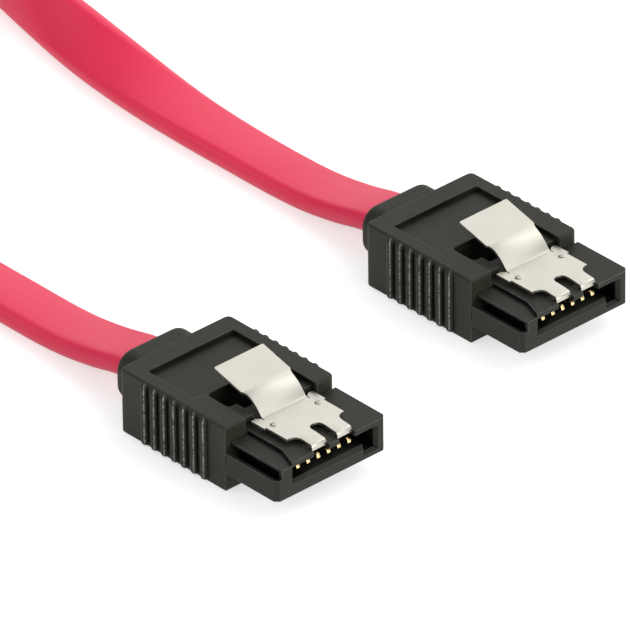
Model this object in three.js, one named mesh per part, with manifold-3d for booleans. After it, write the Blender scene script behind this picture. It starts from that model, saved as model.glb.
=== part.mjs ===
// Flat red data cable with a latching black plug on each end.
// Millimetres, +Z up. Origin: on the table, under the middle of the two plugs.
// Each plug is drawn in a frame of its own: +X towards the mating face, which is at x = 0,
// +Y across, z = 0 on the underside.
import * as THREE from 'three';
import { mergeVertices } from 'three/addons/utils/BufferGeometryUtils.js';
import Module from 'manifold-3d';

const wasm = await Module();
wasm.setup();

// Where the two plugs lie
const plugPitch = 34.0;       // centre line to centre line
const plugStagger = 3.3;      // how far the second plug lies behind the first

// Overmould: the black grip that is cast over the insert and the cable end
const shellWidth = 13.7;      // between the ribs
const shellHeight = 6.9;
const shellFront = -7.0;      // front end, measured from the mating face
const shellLength = 14.6;
const shellCorner = 0.6;      // radius of the upright corners
const shellSharp = 0.15;      // the front corner beside the groove is nearly sharp
const shellEdge = 0.25;       // radius of the top and bottom edges
const ribCount = 7;           // on each side
const ribPitch = 1.36;
const ribRadius = 0.45;
const ribFromRear = 3.6;      // rear end of the shell to the first rib
const ribEndGap = 0.12;       // rib end to the top or the underside

// Recessed panel in the top, and the finger pocket in front of it
const panelDepth = 0.5;
const panelWidth = 10.7;
const panelFromRear = 2.3;
const panelCorner = 0.25;
const pocketLength = 3.05;
const pocketWidth = 8.0;
const pocketFloor = 3.0;      // height of its floor above the table
const pocketFromFront = 3.05; // front wall of the pocket to the front end of the shell
const pocketCorner = 0.45;
const wellWidth = 6.0;        // narrower opening under the latch's neck
const armLength = 0.7;        // the two arms reach past the shoulders by this much
const armGap = 8.9;           // between the arms
const armGapMiddle = 0.15;

// Strain relief, in one with the overmould
const reliefLength = 3.2;
const reliefWidth = 8.9;
const reliefMiddle = -0.2;
const reliefBottom = 0.8;
const reliefTop = 5.95;
const reliefCorner = 1.9;
const reliefRound = 0.7;      // rounding of its rear end
const reliefSocket = 1.2;     // depth of the opening that the cable goes into

// Insert: the harder moulding that holds the contacts
const insertWidth = 13.7;
const insertBottom = 2.0;
const insertTop = 5.55;
const faceChamfer = 0.42;     // upright edges of the mating face
const insertEdge = 0.12;
const tailLength = 2.7;       // behind the shell's front end, inside the overmould
const tailWidth = 8.2;
const tailBottom = 2.7;
const fitGap = 0.1;           // insert to overmould
const keyMiddle = 0.4;        // the slot, the latch and the pocket share this centre line

// L-shaped slot for the mating tongue
const slotWidth = 10.2;
const slotBottom = 3.5;
const slotTop = 4.95;
const slotDepth = 6.0;
const slotLead = 0.2;         // the mouth is wider than the slot by this above and on the left
const slotLeadWide = 0.35;    // and by this below and on the right
const slotLeadLength = 0.4;
const legWidth = 1.35;        // short leg of the L, at the right end
const legBottom = 2.6;

// Side of the insert on the left of the slot
const plateLeft = -4.05;      // left edge of the roof over the slot
const plateFlare = 2.3;       // towards the mating face it widens to the mouth over this length
const ledgeTop = 5.2;         // beside the roof the insert is lower
const ledgeThick = 0.25;
const grooveInner = 0.5;      // wall between the slot and the groove under the ledge
const grooveWall = 0.42;      // outer wall of the groove, which runs on to the mating face
const ledgeGap = 0.31;        // edge of the ledge to the outer wall
const grooveWallTop = 4.2;
const grooveFloor = 2.9;
const grooveWeb = 0.4;        // upright web between the groove and the mating face

// Contacts
const contactCount = 7;
const contactPitch = 1.27;
const contactWidth = 0.4;
const contactThick = 0.18;
const contactTip = -0.35;     // front end, behind the mating face
const contactLastSetback = 1.2; // the last one sits deeper than the others
const contactBow = 0.3;
const contactHook = 0.28;     // how far the tip turns down at its end
const contactTail = 2.6;      // length held in the wall behind the slot
const contactGap = 0.08;      // contact to the walls of its channel
const contactRoofGap = 0.15;  // contact to the slot's roof

// Latch: one piece of spring steel
const latchThick = 0.25;
const latchTop = 6.15;        // top face of the flat part
const latchHalf = 3.55;       // half width of the flat part
const latchFront = -2.6;      // front edge of the flat part
const earRear = -7.2;
const earFront = -5.4;
const earProud = 0.27;
const earSlit = 0.7;          // length of the slit between each ear and the neck
const earSlitWidth = 0.12;
const neckHalf = 2.75;
const neckKink = -9.4;        // where the tab begins
const neckKinkRise = 1.85;    // height of the kink above the flat part
const tabHalf = 3.05;
const tabRear = -13.15;
const tabRise = 2.82;         // height of the tab's rear edge above the flat part
const prongWidth = 1.75;
const prongGap = 1.4;         // between the two prongs
const prongInside = -0.64;    // rear face of the part that is turned down
const prongBend = 0.15;       // inside radius of that bend
const prongDrop = 0.55;
const prongClear = 0.12;      // prong to the notch that it goes into
const notchRear = -1.5;       // rear end of the two notches in the roof's front edge
const barbLength = 0.6;       // the two small wedges that lock the plug
const barbWidth = 0.5;
const barbHeight = 0.15;
const barbX = -5.2;
const barbOffset = 2.78;

// Cable
const cableWidth = 6.2;
const cableThick = 2.2;
const cableGap = 0.2;         // cable to the opening in the strain relief
const cableSteps = 78;
const cableSides = 12;

// Centre line of the cable from the first plug to the second, and how far it is turned
// on its edge at each point, in degrees. Both ends lie flat, and the loop stands on edge.
const cableRoute = [
  [-9.7, -17.0, 3.1, 0], [-12.6, -17.0, 2.95, 0], [-17.0, -17.0, 2.0, 0], [-22.0, -17.0, 1.3, 0],
  [-30.0, -17.0, 1.15, 0], [-40.0, -17.1, 1.45, 8], [-50.0, -17.6, 2.25, 32], [-60.0, -18.6, 2.95, 62],
  [-70.0, -20.0, 3.2, 84], [-82.0, -21.8, 3.2, 90], [-94.0, -22.3, 3.2, 90], [-104.5, -19.2, 3.2, 90],
  [-112.3, -12.3, 3.2, 90], [-116.5, -2.6, 3.2, 90], [-115.4, 7.6, 3.2, 90], [-110.0, 16.2, 3.2, 90],
  [-101.0, 21.4, 3.2, 90], [-90.0, 22.4, 3.2, 90], [-78.0, 20.8, 3.2, 86], [-67.0, 19.0, 3.0, 65],
  [-56.0, 17.7, 2.32, 34], [-45.0, 17.1, 1.5, 9], [-34.0, 17.0, 1.15, 0], [-25.3, 17.0, 1.3, 0],
  [-20.3, 17.0, 2.0, 0], [-15.9, 17.0, 2.95, 0], [-13.0, 17.0, 3.1, 0],
];

const shellRear = shellFront - shellLength;
const reliefRear = shellRear - reliefLength;
const panelFloor = shellHeight - panelDepth;
const slotLeft = keyMiddle - slotWidth / 2;
const slotRight = keyMiddle + slotWidth / 2;
const tailRear = shellFront - tailLength;
const shoulderFront = shellFront - armLength;
const farCut = 2;             // how far a cutting solid reaches past the surface that it opens

const black = { color: 0x2b2b29, roughness: 0.62, metalness: 0.0 };
const darkGrey = { color: 0x363735, roughness: 0.45, metalness: 0.0 };
const steel = { color: 0xcbc8bf, roughness: 0.32, metalness: 1.0 };
const gold = { color: 0xd9a441, roughness: 0.25, metalness: 1.0 };
const red = { color: 0xd8345c, roughness: 0.4, metalness: 0.0 };

// A closed three.js geometry as a solid that can be joined and cut
function solid(geometry) {
  const bare = geometry.clone();
  bare.deleteAttribute('normal');
  bare.deleteAttribute('uv');
  const merged = mergeVertices(bare, 1e-5);
  const vertProperties = Float32Array.from(merged.attributes.position.array);
  const triVerts = Uint32Array.from(merged.index.array);
  return new wasm.Manifold(new wasm.Mesh({ numProp: 3, vertProperties, triVerts }));
}

function mesh(name, shape, look) {
  const { vertProperties, triVerts } = shape.getMesh();
  const geometry = new THREE.BufferGeometry();
  geometry.setAttribute('position', new THREE.BufferAttribute(vertProperties, 3));
  geometry.setIndex(new THREE.BufferAttribute(triVerts, 1));
  geometry.computeVertexNormals();
  const result = new THREE.Mesh(geometry, new THREE.MeshStandardMaterial(look));
  result.name = name;
  return result;
}

function box(x0, x1, y0, y1, z0, z1) {
  const geometry = new THREE.BoxGeometry(x1 - x0, y1 - y0, z1 - z0);
  geometry.translate((x0 + x1) / 2, (y0 + y1) / 2, (z0 + z1) / 2);
  return solid(geometry);
}

function outline(points) {
  return new THREE.Shape(points.map(([u, v]) => new THREE.Vector2(u, v)));
}

function roundedRectangle(u0, u1, v0, v1, radius, lowRight = radius) {
  const shape = new THREE.Shape();
  shape.moveTo(u0 + radius, v0);
  shape.lineTo(u1 - lowRight, v0);
  shape.absarc(u1 - lowRight, v0 + lowRight, lowRight, -Math.PI / 2, 0);
  shape.absarc(u1 - radius, v1 - radius, radius, 0, Math.PI / 2);
  shape.absarc(u0 + radius, v1 - radius, radius, Math.PI / 2, Math.PI);
  shape.absarc(u0 + radius, v0 + radius, radius, Math.PI, Math.PI * 1.5);
  return shape;
}

// An outline drawn in X and Y, raised from z0 to z1, with rounded edges if edge is given
function raise(shape, z0, z1, edge = 0, curveSegments = 4) {
  const geometry = new THREE.ExtrudeGeometry(shape, {
    depth: z1 - z0 - 2 * edge, curveSegments,
    bevelEnabled: edge > 0, bevelThickness: edge, bevelSize: edge, bevelOffset: -edge,
    bevelSegments: 2,
  });
  geometry.translate(0, 0, z0 + edge);
  return solid(geometry);
}

// An outline drawn in Y and Z, run along X from x0 with the given extrusion settings
function runAlongX(shape, x0, settings) {
  const geometry = new THREE.ExtrudeGeometry(shape, { bevelEnabled: false, ...settings });
  const axes = new THREE.Matrix4().makeBasis(
    new THREE.Vector3(0, 1, 0), new THREE.Vector3(0, 0, 1), new THREE.Vector3(1, 0, 0));
  geometry.applyMatrix4(axes);
  geometry.translate(x0, 0, 0);
  return solid(geometry);
}

// An outline drawn in X and Z, run across from y0 to y1
function runAlongY(shape, y0, y1) {
  const geometry = new THREE.ExtrudeGeometry(shape, { depth: y1 - y0, bevelEnabled: false });
  const axes = new THREE.Matrix4().makeBasis(
    new THREE.Vector3(1, 0, 0), new THREE.Vector3(0, 0, 1), new THREE.Vector3(0, -1, 0));
  geometry.applyMatrix4(axes);
  geometry.translate(0, y1, 0);
  return solid(geometry);
}

// Strain relief: a rounded sleeve whose rear end rounds over towards the cable
function strainRelief() {
  const sleeve = roundedRectangle(
    reliefMiddle - reliefWidth / 2, reliefMiddle + reliefWidth / 2,
    reliefBottom, reliefTop, reliefCorner);
  const body = runAlongX(sleeve, reliefRear + reliefRound, {
    depth: reliefLength + shellCorner, curveSegments: 5, bevelEnabled: true, bevelSegments: 3,
    bevelThickness: reliefRound, bevelSize: reliefRound, bevelOffset: -reliefRound,
  });
  const gap = cableGap;
  const mouth = roundedRectangle(
    -cableWidth / 2 - gap, cableWidth / 2 + gap,
    cableRoute[0][2] - cableThick / 2 - gap, cableRoute[0][2] + cableThick / 2 + gap,
    cableThick / 2);
  return body.subtract(
    runAlongX(mouth, reliefRear - farCut, { depth: farCut + reliefSocket, curveSegments: 4 }));
}

function gripRibs() {
  const length = shellHeight - 2 * ribEndGap - 2 * ribRadius;
  const ribs = [];
  for (const side of [-1, 1]) {
    for (let i = 0; i < ribCount; i += 1) {
      const rib = new THREE.CapsuleGeometry(ribRadius, length, 3, 12);
      rib.rotateX(Math.PI / 2);
      rib.translate(shellRear + ribFromRear + i * ribPitch, side * shellWidth / 2, shellHeight / 2);
      ribs.push(solid(rib));
    }
  }
  return ribs;
}

// Everything that is hollowed out of the overmould from above
function topCuts() {
  const above = shellHeight + farCut;
  const pocketFront = shellFront - pocketFromFront;
  const pocketRear = pocketFront - pocketLength;
  const panelHalf = panelWidth / 2;
  const gapLow = armGapMiddle - armGap / 2;
  const gapHigh = armGapMiddle + armGap / 2;
  const panel = raise(roundedRectangle(
    shellRear + panelFromRear, pocketRear + panelCorner, -panelHalf, panelHalf, panelCorner),
  panelFloor, above);
  const channel = box(pocketRear, shellFront + farCut, gapLow, gapHigh, panelFloor, above);
  const pocket = raise(roundedRectangle(
    pocketRear, pocketFront, keyMiddle - pocketWidth / 2, keyMiddle + pocketWidth / 2, pocketCorner),
  pocketFloor, above);
  const well = raise(roundedRectangle(
    pocketFront - pocketCorner, shellFront + farCut,
    keyMiddle - wellWidth / 2, keyMiddle + wellWidth / 2, pocketCorner),
  insertTop - fitGap, above);
  const armSpace = box(shoulderFront, shellFront + farCut, gapLow, gapHigh, insertTop - fitGap, above);
  return [panel, channel, pocket, well, armSpace];
}

// The part of the insert that the overmould holds, grown by a gap on every side
function tail(gap) {
  const block = box(
    tailRear - gap, shellFront + farCut, -tailWidth / 2 - gap, tailWidth / 2 + gap,
    tailBottom - gap, insertTop);
  const roof = box(
    shoulderFront, shellFront + farCut,
    armGapMiddle - armGap / 2 + fitGap - gap, armGapMiddle + armGap / 2 - fitGap + gap,
    tailBottom - gap, insertTop + gap);
  return block.add(roof);
}

function overmould() {
  let body = raise(roundedRectangle(
    shellRear, shellFront, -shellWidth / 2, shellWidth / 2, shellCorner, shellSharp + shellEdge),
  0, shellHeight, shellEdge);
  body = body.add(strainRelief());
  for (const rib of gripRibs()) body = body.add(rib);
  for (const cut of topCuts()) body = body.subtract(cut);
  return body.subtract(tail(fitGap));
}

// Slot outline in Y and Z: wide, with the short leg going down at the right end.
// It grows from the slot's own size at 0 to the mouth in the face at 1.
function slotPoints(grow) {
  const near = slotLead * grow;
  const far = slotLeadWide * grow;
  return [
    [slotLeft - near, slotTop + near], [slotLeft - near, slotBottom - far],
    [slotRight - legWidth - near, slotBottom - far], [slotRight - legWidth - near, legBottom - near],
    [slotRight + far, legBottom - near], [slotRight + far, slotTop + near],
  ];
}

// A solid between two outlines in Y and Z that have the same number of points
function taper(rear, rearX, front, frontX) {
  const count = rear.length;
  const places = [...rear.map(([y, z]) => [rearX, y, z]), ...front.map(([y, z]) => [frontX, y, z])];
  const cap = THREE.ShapeUtils.triangulateShape(front.map(([y, z]) => new THREE.Vector2(y, z)), []);
  const faces = cap.flatMap(([a, b, c]) => [[c, b, a], [a + count, b + count, c + count]]);
  for (let i = 0; i < count; i += 1) {
    const next = (i + 1) % count;
    faces.push([i, next, next + count], [i, next + count, i + count]);
  }
  const geometry = new THREE.BufferGeometry();
  geometry.setAttribute('position', new THREE.Float32BufferAttribute(places.flat(), 3));
  geometry.setIndex(faces.flat());
  return solid(geometry);
}

function slotCut() {
  const straight = runAlongX(outline(slotPoints(0)), -slotDepth, { depth: slotDepth + farCut });
  return straight.add(taper(slotPoints(0), -slotLeadLength, slotPoints(2), slotLeadLength));
}

// The insert's left side, from the roof's edge outwards: a ledge, and a groove that runs in
// under it from a narrow gap beside the outer wall
function leftSideCuts() {
  const rear = shellFront + fitGap;
  const side = -insertWidth / 2;
  const above = insertTop + farCut;
  const wallInside = side + grooveWall;
  const ledgeEdge = wallInside + ledgeGap;
  const mouthLeft = slotLeft - slotLead;
  const besideRoof = raise(outline([
    [rear, side - farCut], [farCut, side - farCut], [farCut, mouthLeft], [0, mouthLeft],
    [-plateFlare, plateLeft], [rear, plateLeft],
  ]), ledgeTop, above);
  const groove = box(
    rear, -grooveWeb, wallInside, slotLeft - grooveInner, grooveFloor, ledgeTop - ledgeThick);
  const besideLedge = box(rear, -grooveWeb, wallInside, ledgeEdge, grooveFloor, above);
  const overWall = box(rear, farCut, side - farCut, ledgeEdge, grooveWallTop, above);
  return [besideRoof, groove, besideLedge, overWall];
}

function prongNotches() {
  const reach = prongWidth + 2 * prongClear;
  const notches = [];
  for (const side of [-1, 1]) {
    const middle = keyMiddle + side * (prongGap + prongWidth) / 2;
    notches.push(box(
      notchRear, farCut, middle - reach / 2, middle + reach / 2,
      slotTop - fitGap, insertTop + farCut));
  }
  return notches;
}

function insert(contacts) {
  const front = outline([
    [shellFront + fitGap, -insertWidth / 2], [-faceChamfer, -insertWidth / 2],
    [0, -insertWidth / 2 + faceChamfer], [0, insertWidth / 2 - faceChamfer],
    [-faceChamfer, insertWidth / 2], [shellFront + fitGap, insertWidth / 2],
  ]);
  let body = raise(front, insertBottom, insertTop, insertEdge).add(tail(0).intersect(
    box(tailRear, shellFront + farCut / 2, -insertWidth, insertWidth, 0, insertTop)));
  for (const cut of leftSideCuts()) body = body.subtract(cut);
  body = body.subtract(slotCut());
  for (const cut of prongNotches()) body = body.subtract(cut);
  for (const contact of contacts) body = body.subtract(contactChannel(contact));
  return body;
}

function contactPlace(index) {
  const setback = index === contactCount - 1 ? contactLastSetback : 0;
  return { y: (index - (contactCount - 1) / 2) * contactPitch, tip: contactTip - setback };
}

const contactZ = slotTop - contactRoofGap - contactThick;

// Side profile of a contact: straight tail, a bow in the slot, and a tip that hooks down
function contactProfile(tip) {
  const spine = new THREE.Path();
  spine.moveTo(-slotDepth - contactTail, contactZ);
  spine.lineTo(-slotDepth + 0.6, contactZ);
  spine.bezierCurveTo(-slotDepth / 2, contactZ, tip - 2.2, contactZ - contactBow, tip - 1.3,
    contactZ - contactBow);
  spine.quadraticCurveTo(tip - 0.7, contactZ - contactBow, tip - 0.45, contactZ - 0.1);
  spine.bezierCurveTo(tip - 0.35, contactZ + 0.05, tip - 0.15, contactZ + 0.05,
    tip - contactThick, contactZ - contactHook);
  return spine;
}

function contact({ y, tip }) {
  return runAlongY(strip(contactProfile(tip), contactThick, 5), y - contactWidth / 2, y + contactWidth / 2);
}

function contactChannel({ y }) {
  const half = contactWidth / 2 + contactGap;
  return box(
    -slotDepth - contactTail - contactGap, -slotDepth + farCut / 4, y - half, y + half,
    contactZ - contactGap, contactZ + contactThick + contactGap);
}

// Outline of a strip of even thickness that follows a path, which is its lower face
function strip(path, thickness, divisions) {
  const points = path.getPoints(divisions);
  const upper = points.map((point, i) => {
    const before = points[Math.max(i - 1, 0)];
    const after = points[Math.min(i + 1, points.length - 1)];
    const along = after.clone().sub(before).normalize();
    return [point.x - along.y * thickness, point.y + along.x * thickness];
  });
  return outline([...points.map((point) => [point.x, point.y]), ...upper.reverse()]);
}

// Side profile of the latch, from the raised tab over the neck and the flat part to the prongs
function latchProfile() {
  const flat = latchTop - latchThick;
  const spine = new THREE.Path();
  spine.moveTo(tabRear, flat + tabRise);
  spine.lineTo(neckKink, flat + neckKinkRise);
  spine.bezierCurveTo(neckKink + 1.7, flat + neckKinkRise - 0.42, neckKink + 2.15, flat,
    earRear + earSlit / 2, flat);
  spine.lineTo(prongInside - prongBend, flat);
  spine.quadraticCurveTo(prongInside, flat, prongInside, flat - prongBend);
  spine.lineTo(prongInside, flat - prongDrop);
  return spine;
}

// Plan outline of one half of the latch, from the tab to the prong; side is -1 or 1
function latchHalfOutline(side) {
  const prongInner = prongGap / 2;
  const prongOuter = prongInner + prongWidth;
  const at = (x, half) => new THREE.Vector2(x, keyMiddle + side * half);
  const shape = new THREE.Shape();
  const to = (x, half) => { const p = at(x, half); shape.lineTo(p.x, p.y); };
  const curve = (x1, half1, x2, half2) => {
    const a = at(x1, half1);
    const b = at(x2, half2);
    shape.quadraticCurveTo(a.x, a.y, b.x, b.y);
  };
  const start = at(tabRear, -0.01);
  shape.moveTo(start.x, start.y);
  to(tabRear, tabHalf);
  to(neckKink, tabHalf);
  curve(neckKink + 0.25, neckHalf, neckKink + 0.9, neckHalf);
  to(earRear + earSlit, neckHalf);
  to(earRear + earSlit, neckHalf + earSlitWidth);
  to(earRear + earSlit / 2, neckHalf + earSlitWidth);
  to(earRear, latchHalf - 0.25);
  to(earRear, latchHalf + earProud);
  to(earFront, latchHalf + earProud);
  to(earFront, latchHalf);
  to(latchFront, latchHalf);
  to(latchFront, prongOuter + 0.9);
  curve(latchFront + 0.1, prongOuter, latchFront + 1.0, prongOuter);
  to(farCut, prongOuter);
  to(farCut, prongInner);
  to(latchFront + 0.35, prongInner);
  curve(latchFront - 0.4, prongInner, latchFront - 0.4, -0.01);
  return shape;
}

// The two small wedges on the flat part, steep towards the rear
function lockBarbs() {
  const wedge = outline([
    [barbX - barbLength / 2, latchTop - latchThick / 2], [barbX + barbLength / 2, latchTop - latchThick / 2],
    [barbX + barbLength / 2, latchTop], [barbX - barbLength / 2, latchTop + barbHeight],
  ]);
  return [-1, 1].map((side) => {
    const middle = keyMiddle + side * barbOffset;
    return runAlongY(wedge, middle - barbWidth / 2, middle + barbWidth / 2);
  });
}

// The bent sheet before its outline is cut: the middle follows the profile, the ears stay flat
function latchSheet() {
  const wide = latchHalf + earProud + farCut;
  const middle = neckHalf + earSlitWidth / 3;
  const ear = neckHalf + earSlitWidth * 2 / 3;
  const slab = (x0, x1, half0, half1) => box(
    x0, x1, keyMiddle + half0, keyMiddle + half1, latchTop - latchThick, latchTop);
  return runAlongY(strip(latchProfile(), latchThick, 7), keyMiddle - middle, keyMiddle + middle)
    .add(slab(earRear + earSlit * 0.6, latchFront + 1, -wide, wide))
    .add(slab(earRear - earSlit, earFront, -wide, -ear))
    .add(slab(earRear - earSlit, earFront, ear, wide));
}

function latch() {
  const plan = [-1, 1].map((side) => raise(latchHalfOutline(side), 0, latchTop + tabRise + farCut));
  let body = latchSheet().intersect(plan[0].add(plan[1]));
  for (const barb of lockBarbs()) body = body.add(barb);
  return body;
}

// A plug in its own frame: overmould, insert, latch and contacts
function plug(name) {
  const places = Array.from({ length: contactCount }, (_, index) => contactPlace(index));
  const group = new THREE.Group();
  group.add(mesh(`${name}_overmould`, overmould(), black));
  group.add(mesh(`${name}_insert`, insert(places), darkGrey));
  group.add(mesh(`${name}_latch`, latch(), steel));
  places.forEach((place, index) => {
    group.add(mesh(`${name}_contact_${index + 1}`, contact(place), gold));
  });
  return group;
}

// A path that says at each step which way the flat side of the ribbon faces
class RibbonPath extends THREE.CatmullRomCurve3 {
  constructor(route) {
    super(route.map(([x, y, z]) => new THREE.Vector3(x, y, z)), false, 'centripetal');
    this.turns = route.map((point) => THREE.MathUtils.degToRad(point[3]));
  }

  turnAt(t) {
    const place = t * (this.turns.length - 1);
    const low = Math.min(Math.floor(place), this.turns.length - 2);
    return THREE.MathUtils.lerp(this.turns[low], this.turns[low + 1], place - low);
  }

  computeFrenetFrames(segments) {
    const tangents = [];
    const normals = [];
    const binormals = [];
    for (let i = 0; i <= segments; i += 1) {
      const along = this.getTangentAt(i / segments);
      const level = new THREE.Vector3(0, 0, 1).cross(along).normalize();
      const turn = this.turnAt(this.getUtoTmapping(i / segments));
      const wide = level.applyAxisAngle(along, turn);
      tangents.push(along);
      normals.push(wide);
      binormals.push(new THREE.Vector3().crossVectors(along, wide));
    }
    return { tangents, normals, binormals };
  }
}

// Flat cable section with round sides
function cableSection() {
  const radius = cableThick / 2;
  const shape = new THREE.Shape();
  shape.absarc(cableWidth / 2 - radius, 0, radius, -Math.PI / 2, Math.PI / 2);
  shape.absarc(-cableWidth / 2 + radius, 0, radius, Math.PI / 2, Math.PI * 1.5);
  return shape;
}

function cable() {
  const geometry = new THREE.ExtrudeGeometry(cableSection(), {
    steps: cableSteps, curveSegments: cableSides / 2 - 1, extrudePath: new RibbonPath(cableRoute),
  });
  return mesh('cable', solid(geometry), red);
}

const middle = (-reliefRear + plugStagger) / 2;
const plugA = plug('plug_a');
plugA.position.set(middle, -plugPitch / 2, 0);
const plugB = plug('plug_b');
plugB.position.set(middle - plugStagger, plugPitch / 2, 0);

const dataCable = new THREE.Group();
dataCable.name = 'data_cable';
dataCable.add(plugA, plugB, cable());

export default dataCable;
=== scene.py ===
# %% [markdown]
# # A flat data cable with two latching plugs
# The object is one flat red cable with the same black plug on both ends. A plug is four kinds of
# piece: a rubbery overmould that is the grip, a harder insert with an L-shaped slot, a latch bent
# from spring steel, and seven gold plated contacts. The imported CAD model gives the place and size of
# each, so everything here is built on its boxes, first in millimetres in the plug's own frame, which
# keeps the numbers readable, and then scaled to metres and put in place.

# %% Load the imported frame
import math

import bmesh
import bpy
from mathutils import Matrix, Quaternion, Vector
from mathutils.geometry import interpolate_bezier


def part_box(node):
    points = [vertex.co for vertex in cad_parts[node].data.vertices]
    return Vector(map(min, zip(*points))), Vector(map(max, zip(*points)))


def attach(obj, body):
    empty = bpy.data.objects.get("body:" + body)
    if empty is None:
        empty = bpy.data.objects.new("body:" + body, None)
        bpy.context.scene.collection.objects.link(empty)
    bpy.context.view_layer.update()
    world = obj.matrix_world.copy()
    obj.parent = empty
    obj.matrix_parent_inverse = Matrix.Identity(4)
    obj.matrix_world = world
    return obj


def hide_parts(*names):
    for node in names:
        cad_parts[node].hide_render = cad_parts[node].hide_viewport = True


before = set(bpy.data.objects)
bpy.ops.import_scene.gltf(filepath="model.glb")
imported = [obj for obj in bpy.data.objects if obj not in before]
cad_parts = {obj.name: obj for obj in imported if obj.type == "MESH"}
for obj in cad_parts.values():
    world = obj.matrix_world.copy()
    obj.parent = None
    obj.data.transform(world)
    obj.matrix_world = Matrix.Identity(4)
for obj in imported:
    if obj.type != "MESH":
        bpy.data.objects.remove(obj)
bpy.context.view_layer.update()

# %% [markdown]
# ## Sizes that come from the frame
# A plug's own frame has its origin on the table under the middle of the mating face, with X pointing
# out of the mating face. Both plugs share it, so each piece is modelled once and placed twice. The
# boxes of the CAD nodes give the driving sizes, and the details below are measured from those.

# %% Plug frames and driving sizes
mm = 0.001
plugs = ("plug_a", "plug_b")
body = "plugs_and_cable"


def plug_origin(plug):
    low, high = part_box(f"{plug}_insert")
    return Vector((high.x, (low.y + high.y) / 2, 0))


def plug_box(part):
    """Lowest and highest corner of one of the first plug's nodes, in millimetres in its own frame."""
    return [(corner - plug_origin("plug_a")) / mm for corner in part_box(f"plug_a_{part}")]


shell_low, shell_high = plug_box("overmould")
insert_low, insert_high = plug_box("insert")
latch_low, latch_high = plug_box("latch")
relief_rear = shell_low.x
shell_front = shell_high.x
shell_height = shell_high.z
insert_half = insert_high.y
insert_bottom, insert_top = insert_low.z, insert_high.z
key_middle = (latch_low.y + latch_high.y) / 2
print(f"plug: {-relief_rear:.2f} long, {2 * shell_high.y:.2f} wide, {shell_height:.2f} high, mm")

# %% [markdown]
# ## Camera
# The photograph was taken from far away with a long lens, so parallel edges stay almost parallel.
# Azimuth, elevation and distance were fitted to the corners of both plugs, and the small roll levels
# the picture. The camera looks at a point between the two plugs.

# %% Camera
view_azimuth = math.radians(47.89)
view_elevation = math.radians(31.75)
view_roll = math.radians(0.71)
view_distance = 1.1146
view_target = Vector((-0.00073, -0.00549, 0.00785))
view_lens = 685.7

back = Vector((
    math.sin(view_azimuth) * math.cos(view_elevation),
    -math.cos(view_azimuth) * math.cos(view_elevation),
    math.sin(view_elevation),
))
camera = bpy.data.objects.new("camera", bpy.data.cameras.new("camera"))
bpy.context.scene.collection.objects.link(camera)
camera.data.lens = view_lens
camera.data.sensor_width = 36
camera.data.clip_start = 0.001
camera.data.clip_end = 20
camera.rotation_mode = "QUATERNION"
camera.location = view_target + back * view_distance
camera.rotation_quaternion = (-back).to_track_quat("-Z", "Y") @ Quaternion((0, 0, 1), -view_roll)
bpy.context.scene.camera = camera
bpy.context.scene.view_settings.view_transform = "Standard"
print("camera at", [round(c, 4) for c in camera.location])

# %% [markdown]
# ## The cable
# A flat cable is an extruded jacket with straight sides and round edges. It bends easily over its
# flat side and hardly at all over its edge, so to come back to the second plug it turns on edge and
# makes one easy loop. It could be a curve with a bevel object, but a ring of edges that is extruded
# from frame to frame also carries two attributes, the distance along the cable and the place across
# it, and the jacket's drawn lines follow those.

# %% Route of the cable
cable_width = 6.2 * mm
cable_thick = 2.2 * mm
steps_between_points = 12
# Centre line in metres and the turn on edge in degrees, from the first plug to the second
cable_route = [
    (-0.0097, -0.0170, 0.00310, 0), (-0.0126, -0.0170, 0.00295, 0), (-0.0170, -0.0170, 0.00200, 0),
    (-0.0220, -0.0170, 0.00130, 0), (-0.0300, -0.0170, 0.00115, 0), (-0.0400, -0.0171, 0.00145, 8),
    (-0.0500, -0.0176, 0.00225, 32), (-0.0600, -0.0186, 0.00295, 62), (-0.0700, -0.0200, 0.00320, 84),
    (-0.0820, -0.0218, 0.00320, 90), (-0.0940, -0.0223, 0.00320, 90), (-0.1045, -0.0192, 0.00320, 90),
    (-0.1123, -0.0123, 0.00320, 90), (-0.1165, -0.0026, 0.00320, 90), (-0.1154, 0.0076, 0.00320, 90),
    (-0.1100, 0.0162, 0.00320, 90), (-0.1010, 0.0214, 0.00320, 90), (-0.0900, 0.0224, 0.00320, 90),
    (-0.0780, 0.0208, 0.00320, 86), (-0.0670, 0.0190, 0.00300, 65), (-0.0560, 0.0177, 0.00232, 34),
    (-0.0450, 0.0171, 0.00150, 9), (-0.0340, 0.0170, 0.00115, 0), (-0.0253, 0.0170, 0.00130, 0),
    (-0.0203, 0.0170, 0.00200, 0), (-0.0159, 0.0170, 0.00295, 0), (-0.0130, 0.0170, 0.00310, 0),
]


def smooth_line(points, steps):
    """Places on a smooth curve through the points, with no overshoot where they lie unevenly."""
    ends = [points[0] * 2 - points[1], *points, points[-1] * 2 - points[-2]]
    line = []
    for before, start, stop, after in zip(ends, ends[1:], ends[2:], ends[3:]):
        pairs = ((before, start), (start, stop), (stop, after))
        gap0, gap1, gap2 = ((b.xyz - a.xyz).length ** 0.5 for a, b in pairs)
        leave = gap1 * (
            (start - before) / gap0 - (stop - before) / (gap0 + gap1) + (stop - start) / gap1)
        arrive = gap1 * (
            (stop - start) / gap1 - (after - start) / (gap1 + gap2) + (after - stop) / gap2)
        for i in range(steps):
            t = i / steps
            line.append(
                start * (2 * t**3 - 3 * t**2 + 1) + leave * (t**3 - 2 * t**2 + t)
                + stop * (3 * t**2 - 2 * t**3) + arrive * (t**3 - t**2))
    return line + [points[-1]]


cable_line = smooth_line([Vector(point) for point in cable_route], steps_between_points)

# %% Sweep the jacket along the route
jacket_segments = 32


def verts_in(geom):
    return [g for g in geom if isinstance(g, bmesh.types.BMVert)]


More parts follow.
